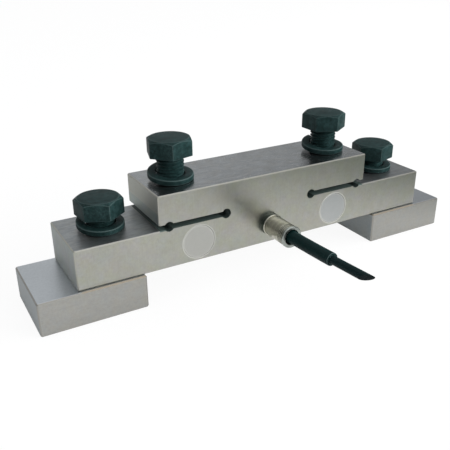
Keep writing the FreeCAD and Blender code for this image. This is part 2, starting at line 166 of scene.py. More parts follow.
# Small inner parts: dark and light colour, roughness, metallic, size of the mottle, and nodes
PLAIN_PARTS = {
    "plug_steel": ((0.30, 0.30, 0.29), (0.38, 0.38, 0.36), 0.4, 1.0, 3.0, ["channel_plug"]),
    "gauge_film": ((0.45, 0.24, 0.07), (0.55, 0.32, 0.11), 0.35, 0.0, 2.0,
                   ["left_front_gauge", "left_rear_gauge", "right_front_gauge", "right_rear_gauge"]),
    "board_laminate": ((0.03, 0.12, 0.05), (0.05, 0.17, 0.07), 0.4, 0.0, 2.0, ["bridge_board"]),
    "resistor_body": ((0.03, 0.03, 0.03), (0.06, 0.06, 0.06), 0.45, 0.0, 0.6,
                      ["zero_resistor", "span_resistor"]),
    "lead_jacket": ((0.35, 0.34, 0.31), (0.45, 0.44, 0.40), 0.45, 0.0, 2.0, ["left_leads", "right_leads"]),
    "red_insulation": ((0.38, 0.02, 0.015), (0.5, 0.04, 0.03), 0.4, 0.0, 1.5,
                       ["supply_core", "left_jumper", "right_jumper"]),
    "black_insulation": ((0.012, 0.012, 0.012), (0.025, 0.025, 0.025), 0.4, 0.0, 1.5, ["ground_core"]),
    "green_insulation": ((0.02, 0.2, 0.04), (0.04, 0.3, 0.07), 0.4, 0.0, 1.5, ["signal_core"]),
    "white_insulation": ((0.62, 0.62, 0.6), (0.72, 0.72, 0.7), 0.4, 0.0, 1.5, ["return_core"]),
}

# Camera of the photograph, in metres and radians
CAMERA_PLACE = (-0.238292, -0.381454, 0.233176)
CAMERA_AZIMUTH = -0.513161591
CAMERA_ELEVATION = 0.428172337
CAMERA_ROLL = -0.00850176567
CAMERA_LENS = 49.51
SENSOR_WIDTH = 36.0

# Floor in metres, and how far it is lifted to white
FLOOR_RADIUS = 9.0
FLOOR_RIM = 1.3
FLOOR_STEPS = 96
SEEN_LIFT = 0.92
REFLECTED_LIFT = 0.25

# The floor is painted darker beyond a line towards the front right, as painted shade: how many millimetres
# out, in which direction, and how softly
DIMMING_EDGE = 212.0
DIMMING_ACROSS = (0.674, -0.739)
DIMMING_FADE = 65.0

# Brightness of the room and of what stands out in it, and the direction of its soft panel
ROOM_LEVEL = 0.28
BACK_WALL = 0.5
CEILING = 1.0
FRONT_WALL = 0.45
PANEL = 1.6
PANEL_DIRECTION = (0.447, -0.793, 0.415)

# Soft lamp low on the right, in metres and watts
LAMP_PLACE = Vector((2.0, -1.25, 0.58))
LAMP_TARGET = Vector((0.0, 0.0, 0.06))
LAMP_WIDTH = 2.4
LAMP_HEIGHT = 0.9
LAMP_POWER = 130.0


class Value:
    """A node's output, with arithmetic that adds Math nodes."""

    def __init__(self, finish, socket):
        self.finish = finish
        self.socket = socket

    def math(self, operation, first, second=0.0):
        return self.finish.node("ShaderNodeMath", {"operation": operation}, {0: first, 1: second})

    def __add__(self, other):
        return self.math("ADD", self, other)

    def __radd__(self, other):
        return self.math("ADD", other, self)

    def __sub__(self, other):
        return self.math("SUBTRACT", self, other)

    def __rsub__(self, other):
        return self.math("SUBTRACT", other, self)

    def __mul__(self, other):
        return self.math("MULTIPLY", self, other)

    def __rmul__(self, other):
        return self.math("MULTIPLY", other, self)

    def __pow__(self, other):
        return self.math("POWER", self, other)

    def __abs__(self):
        return self.math("ABSOLUTE", self)

    def sine(self):
        return self.math("SINE", self)

    def cosine(self):
        return self.math("COSINE", self)

    def least(self, other):
        return self.math("MINIMUM", self, other)

    def most(self, other):
        return self.math("MAXIMUM", self, other)


class Finish:
    """A node tree with helpers that add nodes to it."""

    def __init__(self, tree):
        self.tree = tree
        tree.nodes.clear()

    def node(self, kind, settings=None, sockets=None, output=0):
        """Add a node, apply its settings, fill or link its sockets, and give back one of its outputs."""
        node = self.tree.nodes.new(kind)
        for name, setting in (settings or {}).items():
            setattr(node, name, setting)
        for name, value in (sockets or {}).items():
            if isinstance(value, Value):
                self.tree.links.new(value.socket, node.inputs[name])
            else:
                node.inputs[name].default_value = value
        return Value(self, node.outputs[output]) if len(node.outputs) else node

    def place(self):
        """Object coordinates in millimetres, as one vector and as its three values."""
        metres = self.node("ShaderNodeTexCoord", output="Object")
        vector = self.node("ShaderNodeVectorMath", {"operation": "SCALE"}, {0: metres, "Scale": 1 / MM})
        parts = [self.node("ShaderNodeSeparateXYZ", None, {0: vector}, axis) for axis in range(3)]
        return vector, parts

    def rounded_edge(self):
        """1 along the middle of a mesh's rounded edges."""
        return self.node("ShaderNodeAttribute", {"attribute_name": "rounded_edge"}, None, "Fac")

    def stretched(self, vector, factors):
        return self.node("ShaderNodeVectorMath", {"operation": "MULTIPLY"}, {0: vector, 1: factors})

    def noise(self, vector, size, detail=3.0, roughness=0.55):
        """Smooth noise from 0 to 1 with features of about that many millimetres."""
        return self.node("ShaderNodeTexNoise", {"noise_dimensions": "3D"},
                         {"Vector": vector, "Scale": 1 / size, "Detail": detail, "Roughness": roughness})

    def ramp(self, value, low, high):
        """0 below low, 1 above high, and straight between."""
        return self.node("ShaderNodeMapRange", {"clamp": True},
                         {"Value": value, "From Min": low, "From Max": high})

    def patches(self, noise, spread):
        """Noise with more contrast: 0 or 1 where it lies further than the spread from its middle."""
        return self.ramp(noise, 0.5 - spread, 0.5 + spread)

    def touching(self, distance):
        """1 within a tenth of a millimetre of a face, and 0 from two tenths."""
        return self.ramp(distance, 0.2, 0.1)

    def blend(self, factor, first, second):
        """Mix of two colours, each a tuple or a colour output."""
        sockets = {"Factor": factor}
        for name, colour in ((6, first), (7, second)):
            sockets[name] = colour if isinstance(colour, Value) else (*colour, 1.0)
        return self.node("ShaderNodeMix", {"data_type": "RGBA", "clamp_factor": True}, sockets, 2)

    def tinted(self, colour, tint):
        """A colour multiplied by another."""
        return self.node("ShaderNodeVectorMath", {"operation": "MULTIPLY"}, {0: colour, 1: tint})

    def shade(self, colour, value):
        """A colour made lighter or darker by a value."""
        return self.node("ShaderNodeVectorMath", {"operation": "SCALE"}, {0: colour, "Scale": value})

    def bump(self, height, depth_mm, strength):
        return self.node("ShaderNodeBump", None,
                         {"Height": height, "Distance": depth_mm * MM, "Strength": strength})

    def surface(self, sockets):
        """Close the tree with a Principled surface."""
        shader = self.node("ShaderNodeBsdfPrincipled", None, sockets)
        self.node("ShaderNodeOutputMaterial", None, {"Surface": shader})


def new_finish(name):
    material = bpy.data.materials.new(name)
    material.use_nodes = True
    return material, Finish(material.node_tree)


def edge_mask(finish, distances, chamfer):
    """1 on a chamfer, where two of a box's faces are both within its width, and 0 elsewhere."""
    total = 0.0
    for distance in distances:
        total = finish.ramp(distance, chamfer * 0.98, chamfer * 0.9) + total
    return finish.ramp(total, 1.3, 1.7)


def radius_of(across, upwards):
    return (across * across + upwards * upwards) ** 0.5


def beam_regions(steel, x, y, z):
    """Masks of the beam's faces, edges, slots and cover seats, each 1 in its place and 0 elsewhere."""
    reach = abs(x)
    depth = abs(y)
    on_arm = steel.ramp(reach, ARM_REACH + 0.05, ARM_REACH - 0.05)
    top_level = STEP_TOP + on_arm * (BEAM_TOP - STEP_TOP)
    on_top = steel.touching(abs(z - top_level))
    above_slot = steel.ramp(z, SLOT_MIDDLE, SLOT_MIDDLE + 0.1)
    end_reach = BEAM_HALF_LENGTH - above_slot * (BEAM_HALF_LENGTH - ARM_REACH)
    on_side = steel.touching(BEAM_HALF_DEPTH - depth)
    inside = steel.ramp(reach, ARM_REACH - 0.4, ARM_REACH - 0.6) * (1 - on_side)
    seat_radius = radius_of(reach - COVER_X, z - COVER_Z)
    distances = (BEAM_HALF_DEPTH - depth, top_level - z, end_reach - reach)
    return {"top": on_top,
            "step": on_top * (1 - on_arm),
            "end": steel.touching(end_reach - reach),
            "arm_end": above_slot,
            "edges": edge_mask(steel, distances, BEAM_CHAMFER),
            "slot": steel.touching(abs(z - SLOT_MIDDLE) - RELIEF_RADIUS) * inside,
            "seat": steel.ramp(abs(seat_radius - COVER_RADIUS), 0.9, 0.6)}


def beam_colour(steel, vector, at, mottle, upright):
    """Clouded warm sides and bluer tops, with painted light: shade on the ends, step tops and slots, and
    highlights on the chamfers and the rims round the covers.
    """
    cloud = steel.noise(vector, 34.0)
    blotch = steel.noise(vector, 8.0, 3.0, 0.6)
    patch = steel.patches(steel.noise(vector, 13.0, 3.0, 0.6), 0.15)
    warmth = steel.patches(steel.noise(vector, 6.5, 3.0, 0.65), 0.15)
    fleck = steel.patches(steel.noise(steel.stretched(vector, (0.3, 1.0, 1.0)), 3.2, 4.0, 0.7), 0.15)

    side = steel.blend(cloud, (0.33, 0.33, 0.30), (0.40, 0.40, 0.372))
    side = steel.tinted(side, steel.blend(patch, (0.975, 1.01, 0.97), (1.03, 0.995, 1.005)))
    side = steel.tinted(side, steel.blend(warmth, (1.025, 1.0, 0.95), (0.98, 1.0, 1.035)))
    side = steel.blend(steel.ramp(blotch, 0.45, 0.7) * 0.6, side, (0.335, 0.335, 0.285))
    top = steel.blend(cloud, (0.275, 0.295, 0.30), (0.375, 0.395, 0.405))
    top = steel.blend(steel.ramp(blotch, 0.42, 0.7) * 0.6, top, (0.305, 0.305, 0.285))
    # Ends tinted bluer, and arm ends darker and bluer still: painted shade.
    end_shade_tint = steel.blend(at["arm_end"], (0.87, 0.915, 1.0), (0.66, 0.73, 0.77))
    colour = steel.blend(at["end"], side, steel.tinted(side, end_shade_tint))
    colour = steel.blend(at["top"], colour, top)

    strokes = upright * (0.14 + at["end"] * 0.34)
    flecks = fleck * at["top"] * 0.3
    # Step tops are made darker than the arm tops: painted shade.
    level = 0.75 - at["top"] * 0.15 - at["step"] * 0.07
    colour = steel.shade(colour, level + mottle * 0.36 + strokes + flecks)
    # Chamfers painted lighter: a painted highlight.
    colour = steel.blend(at["edges"] * 0.6, colour, (0.40, 0.39, 0.345))
    # Slots painted near black: painted shade inside the narrow slots.
    colour = steel.blend(at["slot"], colour, (0.050, 0.072, 0.066))
    # Rims round the cover seats painted pale: a painted highlight.
    return steel.blend(at["seat"] * 0.7, colour, (0.50, 0.50, 0.47))


def beam_steel():
    """Nickel plated ground steel: satin sides, smoother tops, matt ends, and dull slots painted dark as
    shade.
    """
    material, steel = new_finish("plated_beam_steel")
    vector, (x, y, z) = steel.place()
    at = beam_regions(steel, x, y, z)
    mottle = steel.noise(vector, 2.0, 4.0, 0.65)
    upright = steel.noise(steel.stretched(vector, (1.2, 1.2, 0.06)), 0.8, 2.0)
    rough = 0.28 - at["top"] * 0.06 + at["step"] * 0.16 + at["end"] * (0.39 - at["arm_end"] * 0.2)
    rough = rough + mottle * 0.08 + at["edges"] * 0.06 + at["seat"] * 0.25 + at["slot"] * 0.3
    height = (upright * 0.6 + mottle) * (1 - at["top"] * 0.94)
    steel.surface({"Base Color": beam_colour(steel, vector, at, mottle, upright),
                   "Metallic": 1 - at["slot"] * 0.9 - at["seat"] * 0.4,
                   "Roughness": rough,
                   "Normal": steel.bump(height, 0.015, 0.25)})
    return material


def block_steel():
    """Ground block steel, a little bluer and more matt than the beam, with painted light: a tan highlight
    under the beam's front edge, lighter tops, bluer ends and darker chamfers.
    """
    material, steel = new_finish("ground_block_steel")
    vector, (x, y, z) = steel.place()
    reach = abs(x)
    depth = abs(y)
    on_top = steel.touching(BEAM_BOTTOM - z)
    across = (reach - BLOCK_INNER_X).least(BLOCK_OUTER_X - reach)
    on_end = steel.touching(across)
    edges = edge_mask(steel, (BLOCK_HALF_DEPTH - depth, BEAM_BOTTOM - z, z, across), BLOCK_CHAMFER)
    # Tan line where the block's top chamfer shows under the beam's front edge: a painted highlight.
    seam_highlight = steel.ramp(z, BEAM_BOTTOM - 0.9, BEAM_BOTTOM - 0.7)
    seam_highlight = seam_highlight * steel.ramp(depth, BEAM_HALF_DEPTH + 0.1, BEAM_HALF_DEPTH + 0.7)
    seam_highlight = seam_highlight * steel.ramp(reach, BEAM_HALF_LENGTH - 1.0, BEAM_HALF_LENGTH - 3.0) * 0.55

    cloud = steel.noise(vector, 28.0)
    blotch = steel.noise(vector, 7.0, 3.0, 0.6)
    mottle = steel.noise(vector, 1.8, 4.0, 0.65)
    grind = steel.noise(steel.stretched(vector, (0.05, 1.3, 1.0)), 0.8, 2.0)
    warmth = steel.patches(steel.noise(vector, 5.5, 3.0, 0.65), 0.15)

    side = steel.blend(cloud, (0.312, 0.310, 0.292), (0.368, 0.366, 0.348))
    side = steel.tinted(side, steel.blend(warmth, (1.02, 1.0, 0.97), (0.985, 1.0, 1.02)))
    side = steel.blend(steel.ramp(blotch, 0.45, 0.7) * 0.4, side, (0.33, 0.323, 0.287))
    # Tops lighter and bluer than the sides: painted light from above.
    top = steel.blend(cloud, (0.465, 0.494, 0.513), (0.53, 0.56, 0.58))
    # Ends tinted bluer: painted shade.
    colour = steel.blend(on_end, side, steel.tinted(side, (0.84, 0.91, 0.98)))
    colour = steel.blend(on_top, colour, top)
    colour = steel.shade(colour, 0.78 + mottle * 0.32 + grind * 0.12)
    # Chamfers painted darker: painted shade that dims their highlight.
    colour = steel.blend(edges * 0.7, colour, (0.29, 0.28, 0.255))
    colour = steel.blend(seam_highlight, colour, (0.27, 0.205, 0.12))
    rough = 0.30 + mottle * 0.08 + on_top * 0.04 + on_end * 0.16 + edges * 0.1
    steel.surface({"Base Color": colour, "Metallic": 1 - seam_highlight * 0.5, "Roughness": rough,
                   "Normal": steel.bump(grind * 0.6 + mottle, 0.012, 0.22)})
    return material


def cover_steel(name, centre_x, dark, light):
    """Turned cover disc with fine rings about its own middle and a rim painted paler as a highlight."""
    material, steel = new_finish(name)
    vector, (x, _, z) = steel.place()
    radius = radius_of(x - centre_x, z - COVER_Z)
    mottle = steel.noise(vector, 2.4, 4.0, 0.6)
    cloud = steel.noise(vector, 10.0)
    rings = (radius * 11.0 + mottle * 1.5).sine()
    rim = steel.ramp(radius, COVER_RADIUS - 1.3, COVER_RADIUS - 0.5)
    colour = steel.blend(cloud, dark, light)
    colour = steel.shade(colour, 0.94 + mottle * 0.1 + rings * 0.012)
    # Paler rim: a painted highlight.
    colour = steel.blend(rim * 0.6, colour, (0.56, 0.56, 0.53))
    steel.surface({"Base Color": colour, "Metallic": 1.0, "Roughness": 0.28 + mottle * 0.1,
                   "Normal": steel.bump(rings, 0.004, 0.4)})
    return material


def black_steel(name, dark, light, rough):
    """Blackened steel with a green grey bloom, fine specks, and rounded edges painted lighter as a
    highlight.
    """
    material, steel = new_finish(name)
    vector, _ = steel.place()
    bloom = steel.patches(steel.noise(vector, 6.0, 4.0, 0.65), 0.2)
    speck = steel.noise(vector, 0.9, 3.0, 0.65)
    scale = steel.patches(steel.noise(vector, 2.0, 5.0, 0.7), 0.2)
    colour = steel.blend(bloom, dark, light)
    colour = steel.shade(colour, 0.1 + speck * 0.9 + scale * 0.9)
    # Rounded edges painted lighter: a painted highlight.
    colour = steel.blend(steel.rounded_edge() * (0.3 + speck * 0.9), colour, (0.05, 0.075, 0.074))
    steel.surface({"Base Color": colour, "Metallic": 0.0, "Roughness": rough + scale * 0.15,
                   "Specular IOR Level": 0.08, "Normal": steel.bump(speck + scale * 0.5, 0.02, 0.5)})
    return material


def turned_nickel(name, dark, light, rough, collar_shade, groove_shade):
    """Turned nickel plating on the gland's line, with painted shade on the base collar and in the grooves.
    """
    material, nickel = new_finish(name)
    vector, (_, y, _) = nickel.place()
    out = -BEAM_HALF_DEPTH - y
    # Base collar painted near black: painted shade where the gland meets the beam.
    collar = nickel.ramp(out, COLLAR_END - 0.5, COLLAR_END - 0.7) * collar_shade
    groove_phase = (out - GROOVE_FIRST - GROOVE_WIDTH / 2) * (2 * math.pi / GROOVE_PITCH)
    groove = nickel.ramp(groove_phase.cosine(), -0.2, 0.5)
    grooved = nickel.ramp(abs(out - GROOVE_MIDDLE), GROOVE_SPAN / 2, GROOVE_SPAN / 2 - 0.1) * groove_shade
    cloud = nickel.noise(vector, 6.0)
    feed = nickel.noise(nickel.stretched(vector, (0.15, 4.0, 0.15)), 0.9, 2.0)
    mottle = nickel.noise(vector, 1.6, 3.0, 0.6)
    bands = nickel.patches(nickel.noise(nickel.stretched(vector, (0.12, 1.0, 0.12)), 1.8, 2.0), 0.2)
    colour = nickel.blend(cloud, dark, light)
    colour = nickel.blend(collar, colour, (0.03, 0.05, 0.045))
    # Grooves painted darker: painted shade in the recesses.
    colour = nickel.blend(groove * grooved, colour, (0.03, 0.035, 0.03))
    colour = nickel.shade(colour, 0.50 + bands * 0.35 + feed * 0.2 + mottle * 0.45)
    nickel.surface({"Base Color": colour, "Metallic": 1.0,
                    "Roughness": rough + mottle * 0.08 + nickel.rounded_edge() * 0.25,
                    "Normal": nickel.bump(feed, 0.01, 0.2)})
    return material


def black_polymer(name, dark, light, rough, streak_strength):
    """Extruded black plastic or rubber: streaks along its length, a little dust, and rounded edges painted
    paler as a highlight.
    """
    material, plastic = new_finish(name)
    vector, _ = plastic.place()
    streak = plastic.noise(plastic.stretched(vector, (1.0, 0.06, 1.0)), 0.7, 2.0)
    dust = plastic.noise(vector, 1.1, 4.0, 0.65)
    patch = plastic.noise(vector, 9.0, 2.0)
    colour = plastic.blend(patch, dark, light)
    colour = plastic.shade(colour, dust * 1.2 + streak * 0.8)
    # Rounded edges painted paler: a painted highlight.
    colour = plastic.blend(plastic.rounded_edge(), colour, (0.09, 0.12, 0.12))
    plastic.surface({"Base Color": colour, "Roughness": rough + dust * 0.15 + streak * 0.06,
                     "Specular IOR Level": 0.10,
                     "Normal": plastic.bump(streak + dust * 0.4, 0.03, streak_strength)})
    return material


def plain_part(name, dark, light, rough, metallic, size):
    """Small inner part: two mottled tones and a fine uneven surface."""
    material, skin = new_finish(name)
    vector, _ = skin.place()
    patch = skin.noise(vector, size)
    speck = skin.noise(vector, size * 0.15)
    colour = skin.shade(skin.blend(patch, dark, light), 0.85 + speck * 0.3)
    skin.surface({"Base Color": colour, "Metallic": metallic, "Roughness": rough + speck * 0.12,
                  "Normal": skin.bump(speck, 0.01, 0.3)})
    return material


def merged(bm, gap=DOUBLED):
    """Merge doubled points and turn every face outwards."""
    bmesh.ops.remove_doubles(bm, verts=bm.verts, dist=gap)
    bmesh.ops.recalc_face_normals(bm, faces=bm.faces)
    return bm


def turned(points, steps, closed=True):
    """Mesh turned about the Z axis from points of (radius, height)."""
    bm = bmesh.new()
    corners = [bm.verts.new((radius, 0, height)) for radius, height in points]
    pairs = list(zip(corners, corners[1:]))
    if closed:
        pairs.append((corners[-1], corners[0]))
    edges = [bm.edges.new(pair) for pair in pairs]
    bmesh.ops.spin(bm, geom=corners + edges, cent=(0, 0, 0), axis=(0, 0, 1), angle=2 * math.pi,
                   steps=steps, use_merge=True, use_duplicate=False)
    return merged(bm)


def cut_off(bm, point, outward):
    """Cut off what lies outside a plane; gives back the edges of the cut."""
    geometry = bm.verts[:] + bm.edges[:] + bm.faces[:]
    cut = bmesh.ops.bisect_plane(bm, geom=geometry, dist=CUT_TOLERANCE, plane_co=point, plane_no=outward,
                                 clear_outer=True)
    return [part for part in cut["geom_cut"] if isinstance(part, bmesh.types.BMEdge)]


def sliced(bm, point, outward):
    """Cut off what lies outside a plane and close the cut; gives back the new faces."""
    return bmesh.ops.holes_fill(bm, edges=cut_off(bm, point, outward), sides=0)["faces"]


def sharp_edges(bm, least_deg):
    limit = math.radians(least_deg)
    return [edge for edge in bm.edges if len(edge.link_faces) == 2 and edge.calc_face_angle() > limit]


def soften(bm, width, least_deg, segments=2):
    """Round every edge that is sharper than an angle, and mark the middle of each rounding."""
    rounded_edge = bm.verts.layers.float.new("rounded_edge")
    rounded = bmesh.ops.bevel(bm, geom=sharp_edges(bm, least_deg), offset=width, offset_type="OFFSET",
                              segments=segments, profile=0.5, affect="EDGES", material=-1,
                              clamp_overlap=True)
    faces = set(rounded["faces"])
    for vertex in rounded["verts"]:
        if faces.issuperset(vertex.link_faces):
            vertex[rounded_edge] = 1.0
    merged(bm, SHORT_EDGE)


def combined(first, second, operation):
    """Boolean of two closed shapes."""
    objects = []
    for bm in (first, second):
        mesh = bpy.data.meshes.new("shape")
        bm.to_mesh(mesh)
        bm.free()
        objects.append(bpy.data.objects.new("shape", mesh))
        bpy.context.scene.collection.objects.link(objects[-1])
    modifier = objects[0].modifiers.new("combine", "BOOLEAN")
    modifier.operation = operation
    modifier.object = objects[1]
    modifier.solver = "EXACT"
    shown = objects[0].evaluated_get(bpy.context.evaluated_depsgraph_get())
    mesh = bpy.data.meshes.new_from_object(shown)
    result = bmesh.new()
    result.from_mesh(mesh)
    bpy.data.meshes.remove(mesh)
    for scratch in objects:
        data = scratch.data
        bpy.data.objects.remove(scratch)
        bpy.data.meshes.remove(data)
    return merged(result, SHORT_EDGE)


def hexagon_head(turn_deg):
    """Bolt head with its underside at zero: a turned blank with six flats cut on it."""
    corner = HEX_FLATS / math.sqrt(3) + BLANK_SPARE
    crown = HEAD_CROWN / 2
    drop = (corner - crown) * math.tan(math.radians(HEAD_CHAMFER_DEG))
    head = turned([(0, 0), (corner, 0), (corner, HEAD_HEIGHT - drop), (crown, HEAD_HEIGHT),
                   (0, HEAD_HEIGHT)], HEAD_STEPS, closed=False)
    for side in range(6):
        angle = math.radians(turn_deg + 30 + 60 * side)
        outward = Vector((math.cos(angle), math.sin(angle), 0))
        sliced(head, outward * HEX_FLATS / 2, outward)
    merged(head)
    soften(head, HEAD_EDGE, least_deg=20)
    return head


def thread_coil(length):
    """Solid right hand thread from a little above zero down to a length."""
    crest = CREST_DIAMETER / 2
    root = crest - THREAD_DEPTH
    flank = (THREAD_PITCH - CREST_FLAT - ROOT_FLAT) / 2
    heights = (0, ROOT_FLAT, ROOT_FLAT + flank, ROOT_FLAT + flank + CREST_FLAT, THREAD_PITCH)
    radii = (root, root, crest, crest, root)
    turns = math.ceil(length / THREAD_PITCH) + COIL_SPARE_TURNS
    start = -length - THREAD_PITCH * COIL_TURNS_BELOW
    bm = bmesh.new()
    profile = [bm.verts.new((radius, 0, start + height)) for radius, height in zip(radii, heights)]
    edges = [bm.edges.new(pair) for pair in zip(profile, profile[1:])]
    bmesh.ops.spin(bm, geom=profile + edges, cent=(0, 0, 0), axis=(0, 0, 1), angle=2 * math.pi * turns,
                   dvec=(0, 0, THREAD_PITCH / THREAD_STEPS), steps=THREAD_STEPS * turns,
                   use_duplicate=False)
    bmesh.ops.remove_doubles(bm, verts=bm.verts, dist=DOUBLED * 2)
    sliced(bm, (0, 0, -length), (0, 0, -1))
    sliced(bm, (0, 0, COIL_TOP), (0, 0, 1))
    return merged(bm)


def threaded_shank(length):
    """Thread with a chamfered tip and a short plain neck under the head."""
    crest = CREST_DIAMETER / 2
    neck = NECK_DIAMETER / 2
    tip = crest - BOLT_TIP_CHAMFER
    outside = crest + CREST_CLEARANCE
    neck_start = -NECK_LENGTH - NECK_OVERLAP
    thread_end = -NECK_LENGTH + NECK_OVERLAP
    envelope = turned([(0, -length), (tip, -length), (outside, outside - tip - length),
                       (outside, neck - outside - NECK_LENGTH), (neck - NECK_OVERLAP, thread_end),
                       (0, thread_end)], SHANK_STEPS, closed=False)
    thread = combined(thread_coil(length + COIL_PAST_TIP), envelope, "INTERSECT")
    plain = turned([(0, neck_start), (neck, neck_start), (neck, NECK_INTO_HEAD), (0, NECK_INTO_HEAD)],
                   SHANK_STEPS, closed=False)
    return combined(thread, plain, "UNION")


def coil_washer(hole, turn_deg):
    """One left hand coil of spring steel, leaning as it lies loose over a hole."""
    inner = WASHER_BORE / 2
    outer = inner + WASHER_WIDTH
    sweep = math.radians(360 - WASHER_CUT_DEG)
    bm = bmesh.new()
    places = ((inner, 0), (outer, 0), (outer, WASHER_THICKNESS), (inner, WASHER_THICKNESS))
    face = bm.faces.new([bm.verts.new((radius, 0, height)) for radius, height in places])
    bmesh.ops.spin(bm, geom=[face], cent=(0, 0, 0), axis=(0, 0, -1), angle=sweep,
                   dvec=(0, 0, WASHER_RISE / WASHER_STEPS), steps=WASHER_STEPS, use_duplicate=False)
    merged(bm)
    soften(bm, WASHER_EDGE, least_deg=40, segments=4)
    rim = hole / 2 + HOLE_CHAMFER
    end_lift = WASHER_RISE / 2 / (1 + rim / outer)
    side_lift = WASHER_RISE / (2 * math.pi)
    middle = Vector((0, 0, (WASHER_RISE + WASHER_THICKNESS) / 2))
    lean = (Matrix.Rotation(-math.atan(side_lift / outer), 4, "X")
            @ Matrix.Rotation(-math.atan(end_lift / outer), 4, "Y"))
    bmesh.ops.translate(bm, vec=-middle, verts=bm.verts)
    bmesh.ops.transform(bm, matrix=lean, verts=bm.verts)
    bmesh.ops.translate(bm, vec=middle, verts=bm.verts)
    bmesh.ops.transform(bm, matrix=Matrix.Rotation(math.radians(turn_deg), 4, "Z"), verts=bm.verts)
    bmesh.ops.translate(bm, vec=(0, 0, end_lift - WASHER_RISE / 2 + WASHER_CLEARANCE), verts=bm.verts)
    return bm


def on_gland_line(bm):
    """Turn a shape drawn along Z so that it points out of the beam's front face on the gland's line."""
    bmesh.ops.transform(bm, matrix=Matrix.Rotation(math.pi / 2, 4, "X"), verts=bm.verts)
    bmesh.ops.translate(bm, vec=(0, -BEAM_HALF_DEPTH, GLAND_Z), verts=bm.verts)
    return bm


def gland_body():
    """Turned gland: threaded stub, base collar, neck, and a barrel grooved near its open end."""
    outline = [(CABLE_HOLE, -STUB_LENGTH), (STUB_RADIUS, -STUB_LENGTH), (STUB_RADIUS, 0),
               (O_RING_INNER, 0), (O_RING_INNER, O_RING_DEPTH), (O_RING_OUTER, O_RING_DEPTH),
               (O_RING_OUTER, 0), (COLLAR_RADIUS, 0), (COLLAR_RADIUS, COLLAR_END - COLLAR_CHAMFER),
               (COLLAR_RADIUS - COLLAR_CHAMFER, COLLAR_END), (NECK_RADIUS, COLLAR_END),
               (NECK_RADIUS, NECK_END), (BARREL_RADIUS, NECK_END)]
    for number in range(GROOVE_COUNT):
        start = GROOVE_FIRST + number * GROOVE_PITCH
        outline += [(BARREL_RADIUS, start), (BARREL_RADIUS - GROOVE_DEPTH, start + GROOVE_WIDTH / 2),
                    (BARREL_RADIUS, start + GROOVE_WIDTH)]
    outline += [(BARREL_RADIUS, BARREL_END), (SPIGOT_RADIUS, BARREL_END), (SPIGOT_RADIUS, SPIGOT_START),
                (BARREL_BORE, SPIGOT_START), (BARREL_BORE, BARREL_BORE_START),
                (CABLE_HOLE, BARREL_BORE_START)]
    body = turned(outline, GLAND_STEPS)
    soften(body, GLAND_CORNER, least_deg=25)
    return on_gland_line(body)


def clamp_ring():
    """Flanged ring in the gland's open end."""
    ring = turned([(BARREL_BORE, SPIGOT_START), (SPIGOT_RADIUS, SPIGOT_START),
                   (SPIGOT_RADIUS, BARREL_END), (RING_RADIUS, BARREL_END),
                   (RING_RADIUS, RING_END - RING_CHAMFER), (RING_RADIUS - RING_CHAMFER, RING_END),
                   (BARREL_BORE + RING_CHAMFER, RING_END), (BARREL_BORE, RING_END - RING_CHAMFER)],
                  GLAND_STEPS)
    soften(ring, GLAND_CORNER, least_deg=25)
    return on_gland_line(ring)


def route_mesh(radius):
    """Mesh of the cable's smooth route: a tube of that radius, or a bare line where it is zero."""
    curve = bpy.data.curves.new("route", "CURVE")
    curve.dimensions = "3D"
    curve.resolution_u = ROUTE_STEPS
    curve.bevel_depth = radius
    curve.bevel_resolution = ROUTE_ROUNDNESS
    spline = curve.splines.new("NURBS")
    spline.points.add(len(CABLE_ROUTE) - 1)
    for point, (x, y) in zip(spline.points, CABLE_ROUTE):
        point.co = (x, y, GLAND_Z, 1)
    spline.order_u = 3
    spline.use_endpoint_u = True
    line = bpy.data.objects.new("route", curve)
    bpy.context.scene.collection.objects.link(line)
    shown = line.evaluated_get(bpy.context.evaluated_depsgraph_get())
    mesh = bpy.data.meshes.new_from_object(shown)
    bpy.data.objects.remove(line)
    bpy.data.curves.remove(curve)
    return mesh


def route_tube(diameter):
    """Open tube of that diameter along the cable's route."""
    bm = bmesh.new()
    mesh = route_mesh(diameter / 2)
    bm.from_mesh(mesh)
    bpy.data.meshes.remove(mesh)
    bmesh.ops.remove_doubles(bm, verts=bm.verts, dist=DOUBLED)
    return bm


def route_direction(number):
    """Direction of one straight run of the cable's route."""
    (x0, y0), (x1, y1) = CABLE_ROUTE[number:number + 2]
    return Vector((x1 - x0, y1 - y0, 0)).normalized()


def cut_direction():
    """Outward direction of the cable's slanted cut."""
    last_run = len(CABLE_ROUTE) - 2
    slant = math.tan(math.radians(CUT_SLANT_DEG))
    return (route_direction(last_run) - CUT_LONG_SIDE * slant).normalized()


def cable_path():
    """Points of the cable's line in millimetres, from its stripped end to the cut."""
    mesh = route_mesh(0)
    outward = cut_direction()
    points = [vertex.co.copy() for vertex in mesh.vertices]
    bpy.data.meshes.remove(mesh)
    kept = [point for point in points if (point - CABLE_END).dot(outward) < 0]
    return kept + [CABLE_END]


def cable_tube():
    """The cable, closed at its stripped end and at its slanted cut; the cut takes the second material."""
    bm = route_tube(CABLE_DIAMETER)
    bmesh.ops.holes_fill(bm, edges=[edge for edge in bm.edges if edge.is_boundary], sides=0)
    for face in sliced(bm, CABLE_END, cut_direction()):
        face.material_index = 1
    bmesh.ops.recalc_face_normals(bm, faces=bm.faces)
    return bm


